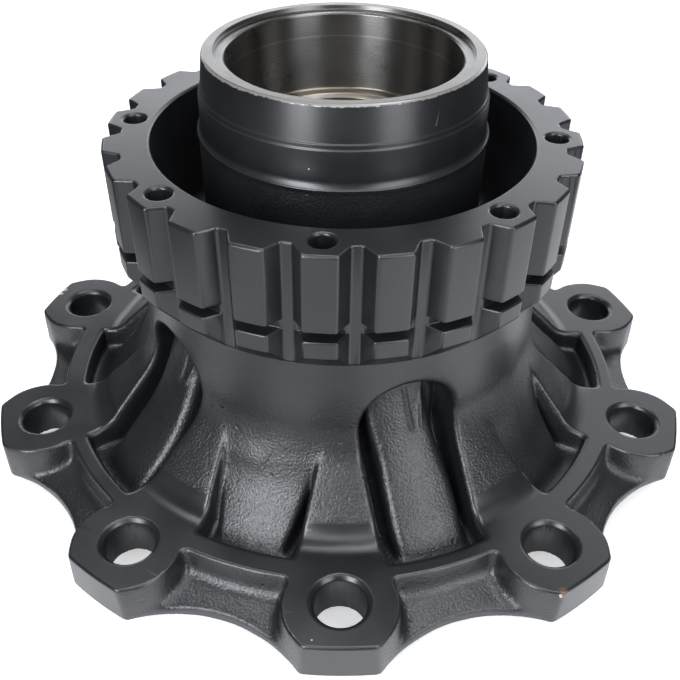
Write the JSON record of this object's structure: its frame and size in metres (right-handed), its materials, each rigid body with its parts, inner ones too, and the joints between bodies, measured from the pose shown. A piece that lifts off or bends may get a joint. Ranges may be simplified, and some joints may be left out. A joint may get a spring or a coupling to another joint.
{
  "type": "wheel hub",
  "caption": "Cast truck wheel hub: scalloped stud flange, spoked bell, toothed brake disc carrier and a turned neck with bearing bores.",
  "frame": {"origin": "middle of the flat rest face at the outboard end, on the axle line", "axes": "+Z along the axle towards the inboard bearing, -Y through the middle of one stud hole"},
  "size_m": [0.3726, 0.382, 0.218],
  "materials": {
    "cast_iron_painted": "satin black paint on cast iron, with bare machined steel in the rim and bearing bore"
  },
  "bodies": {
    "root": {"hub": "cast_iron_painted"}
  },
  "joints": []
}
